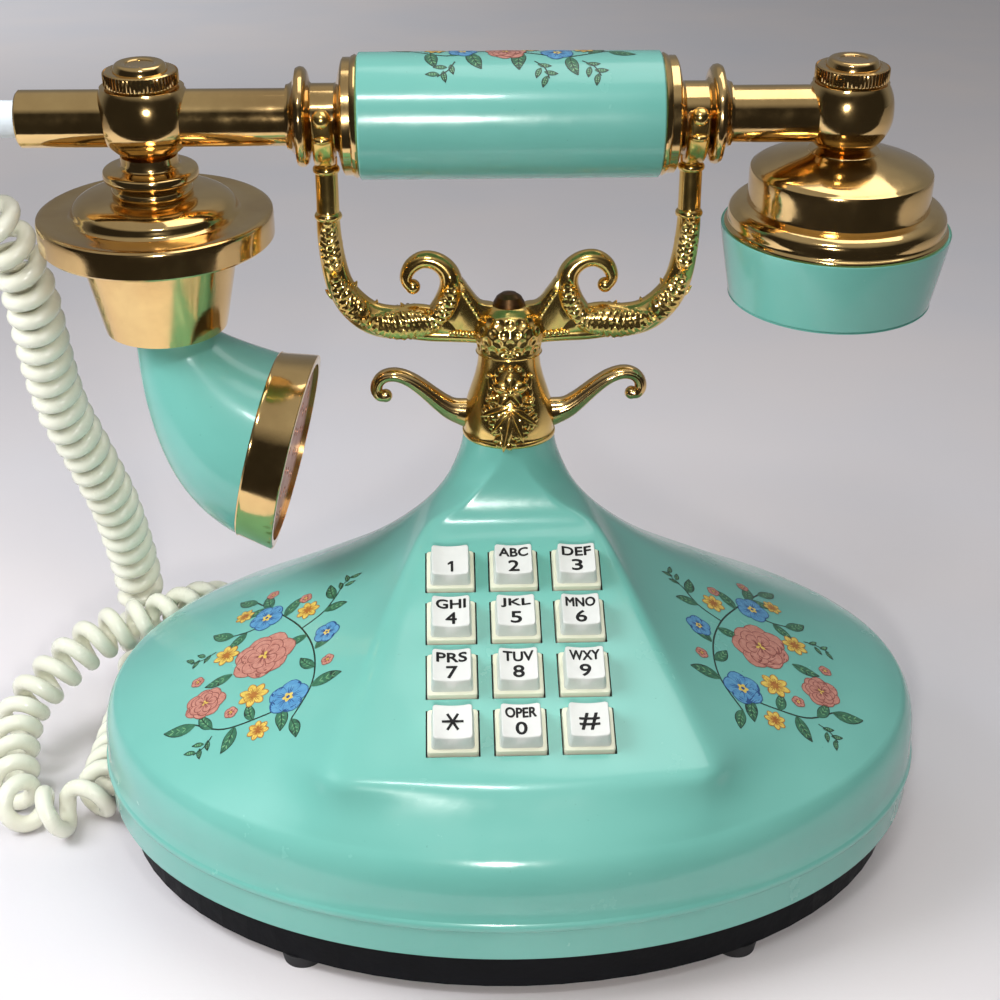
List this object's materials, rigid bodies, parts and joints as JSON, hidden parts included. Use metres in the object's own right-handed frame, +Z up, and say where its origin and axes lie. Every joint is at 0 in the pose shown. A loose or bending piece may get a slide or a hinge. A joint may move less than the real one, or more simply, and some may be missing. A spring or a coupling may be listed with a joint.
{
  "type": "telephone",
  "caption": "French-cradle push-button desk telephone: oval flared body, column with scrolled cradle, and a tube handset with dish-and-horn mouthpiece and round receiver.",
  "frame": {"origin": "centre of the base plate's underside, with the feet reaching 4 mm below it", "axes": "+X to the user's right, -Y towards the user, +Z up"},
  "size_m": [0.277, 0.1962, 0.2178],
  "materials": {
    "mint_plastic": "glossy moulded mint plastic",
    "gilt_plate": "polished gold plate",
    "grille_plate": "satin rose-gold plate",
    "dark_gilt": "darkened gilt",
    "white_plastic": "glossy white plastic",
    "ivory_vinyl": "soft ivory vinyl",
    "key_plastic": "satin white plastic",
    "black_plastic": "satin black plastic",
    "rubber": "matt black rubber",
    "steel": "plain steel",
    "bell_metal": "plated bell metal",
    "copper_winding": "enamelled copper winding",
    "circuit_board": "green circuit board",
    "grey_plastic": "dark grey plastic"
  },
  "bodies": {
    "base": {"body_shell": "mint_plastic", "base_plate": "black_plastic", "rubber_feet": "rubber", "base_screws": "steel", "column": "gilt_plate", "column_nut": "steel", "side_arm_left": "gilt_plate", "side_arm_right": "gilt_plate", "keypad_frame": "grey_plastic", "keypad_board": "circuit_board", "main_board": "circuit_board", "hook_switch": "grey_plastic", "ringer_bracket": "steel", "ringer_coil": "copper_winding", "ringer_gong_left": "bell_metal", "ringer_gong_right": "bell_metal", "line_jack": "grey_plastic", "cord_grommet": "ivory_vinyl", "handset_cord": "ivory_vinyl", "plunger_spring": "steel"},
    "cradle": {"cradle_yoke": "gilt_plate", "hub_finial": "dark_gilt", "plunger_rod": "steel", "plunger_clip": "steel"},
    "handset": {"handset_tube": "gilt_plate", "grip_sleeve": "mint_plastic", "spool_left": "gilt_plate", "spool_right": "gilt_plate", "ball_left": "gilt_plate", "ball_right": "gilt_plate", "cap_left": "gilt_plate", "cap_right": "gilt_plate", "transmitter_stem": "gilt_plate", "transmitter_dish": "gilt_plate", "cone_cup": "gilt_plate", "horn": "mint_plastic", "horn_ring": "gilt_plate", "mouth_grille": "grille_plate", "transmitter_capsule": "grey_plastic", "receiver_housing": "gilt_plate", "ear_cup": "mint_plastic", "receiver_capsule": "grey_plastic", "cord_bush": "white_plastic"},
    "switch_button": {"switch_button": "white_plastic"},
    "clapper": {"clapper": "steel"},
    "key_1": {"key_1": "key_plastic"},
    "key_2": {"key_2": "key_plastic"},
    "key_3": {"key_3": "key_plastic"},
    "key_4": {"key_4": "key_plastic"},
    "key_5": {"key_5": "key_plastic"},
    "key_6": {"key_6": "key_plastic"},
    "key_7": {"key_7": "key_plastic"},
    "key_8": {"key_8": "key_plastic"},
    "key_9": {"key_9": "key_plastic"},
    "key_star": {"key_star": "key_plastic"},
    "key_0": {"key_0": "key_plastic"},
    "key_hash": {"key_hash": "key_plastic"}
  },
  "joints": [
    {"name": "handset_lift", "type": "slide", "parent": "base", "child": "handset", "axis": [0, 0, 1], "range_m": [0, 0.06]},
    {"name": "cradle_rise", "type": "slide", "parent": "base", "child": "cradle", "axis": [0, 0, 1], "range_m": [0, 0.005], "deforming": ["plunger_spring"]},
    {"name": "switch_rise", "type": "slide", "parent": "base", "child": "switch_button", "axis": [0, 0, 1], "range_m": [0, 0.005]},
    {"name": "clapper_swing", "type": "hinge", "parent": "base", "child": "clapper", "pos_m": [0, 0.053, 0.02], "axis": [0, 0, 1], "range_deg": [-4, 4], "stiffness_Nm_per_rad": 0.002},
    {"name": "key_1_press", "type": "slide", "parent": "base", "child": "key_1", "axis": [0, 0.4115, -0.9114], "range_m": [0, 0.0025], "stiffness_N_per_m": 300, "springref_m": -0.0015},
    {"name": "key_2_press", "type": "slide", "parent": "base", "child": "key_2", "axis": [0, 0.4115, -0.9114], "range_m": [0, 0.0025], "stiffness_N_per_m": 300, "springref_m": -0.0015},
    {"name": "key_3_press", "type": "slide", "parent": "base", "child": "key_3", "axis": [0, 0.4115, -0.9114], "range_m": [0, 0.0025], "stiffness_N_per_m": 300, "springref_m": -0.0015},
    {"name": "key_4_press", "type": "slide", "parent": "base", "child": "key_4", "axis": [0, 0.4115, -0.9114], "range_m": [0, 0.0025], "stiffness_N_per_m": 300, "springref_m": -0.0015},
    {"name": "key_5_press", "type": "slide", "parent": "base", "child": "key_5", "axis": [0, 0.4115, -0.9114], "range_m": [0, 0.0025], "stiffness_N_per_m": 300, "springref_m": -0.0015},
    {"name": "key_6_press", "type": "slide", "parent": "base", "child": "key_6", "axis": [0, 0.4115, -0.9114], "range_m": [0, 0.0025], "stiffness_N_per_m": 300, "springref_m": -0.0015},
    {"name": "key_7_press", "type": "slide", "parent": "base", "child": "key_7", "axis": [0, 0.4115, -0.9114], "range_m": [0, 0.0025], "stiffness_N_per_m": 300, "springref_m": -0.0015},
    {"name": "key_8_press", "type": "slide", "parent": "base", "child": "key_8", "axis": [0, 0.4115, -0.9114], "range_m": [0, 0.0025], "stiffness_N_per_m": 300, "springref_m": -0.0015},
    {"name": "key_9_press", "type": "slide", "parent": "base", "child": "key_9", "axis": [0, 0.4115, -0.9114], "range_m": [0, 0.0025], "stiffness_N_per_m": 300, "springref_m": -0.0015},
    {"name": "key_star_press", "type": "slide", "parent": "base", "child": "key_star", "axis": [0, 0.4115, -0.9114], "range_m": [0, 0.0025], "stiffness_N_per_m": 300, "springref_m": -0.0015},
    {"name": "key_0_press", "type": "slide", "parent": "base", "child": "key_0", "axis": [0, 0.4115, -0.9114], "range_m": [0, 0.0025], "stiffness_N_per_m": 300, "springref_m": -0.0015},
    {"name": "key_hash_press", "type": "slide", "parent": "base", "child": "key_hash", "axis": [0, 0.4115, -0.9114], "range_m": [0, 0.0025], "stiffness_N_per_m": 300, "springref_m": -0.0015}
  ],
  "couplings": [
    {"joint": "cradle_rise", "follows": "handset_lift", "ratio": 0.083333},
    {"joint": "switch_rise", "follows": "handset_lift", "ratio": 0.083333}
  ]
}
